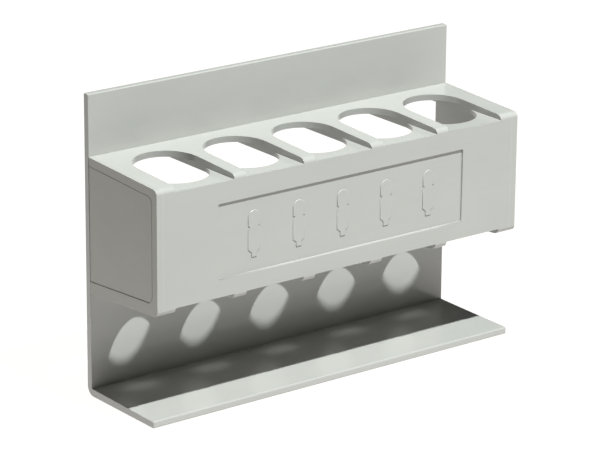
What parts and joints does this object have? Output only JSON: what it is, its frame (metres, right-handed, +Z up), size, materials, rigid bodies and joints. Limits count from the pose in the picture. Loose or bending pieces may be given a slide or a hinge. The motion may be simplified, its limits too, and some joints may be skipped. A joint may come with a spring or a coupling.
{
  "type": "marker pen rack",
  "caption": "Light grey wall rack that holds marker pens upright in a row of oblong openings, with a ledge below for their tips and magnetic strips behind.",
  "frame": {"origin": "middle of the rack's underside, at the height of the surface that its shelf stands on", "axes": "+X along the rack's length, -Y towards the front wall with the label field, +Y towards the wall or board behind it, +Z up"},
  "size_m": [0.14, 0.04, 0.0971],
  "materials": {
    "rack_plastic": "satin injection-moulded light grey polystyrene with a faint green cast",
    "textured_plastic": "the same light grey plastic with a fine moulded texture",
    "tape": "off-white double-sided foam mounting tape",
    "magnet_rubber": "dark brown flexible magnetic strip, dull"
  },
  "bodies": {
    "root": {"back_panel": "rack_plastic", "upper_guide_1": "rack_plastic", "lower_guide_1": "rack_plastic", "upper_guide_2": "rack_plastic", "lower_guide_2": "rack_plastic", "upper_guide_3": "rack_plastic", "lower_guide_3": "rack_plastic", "upper_guide_4": "rack_plastic", "lower_guide_4": "rack_plastic", "upper_guide_5": "rack_plastic", "lower_guide_5": "rack_plastic", "front_wall": "rack_plastic", "label_plate": "rack_plastic", "left_end_panel": "textured_plastic", "right_end_panel": "textured_plastic", "upper_adhesive_tape": "tape", "lower_adhesive_tape": "tape", "upper_magnet_strip": "magnet_rubber", "lower_magnet_strip": "magnet_rubber"}
  },
  "joints": []
}
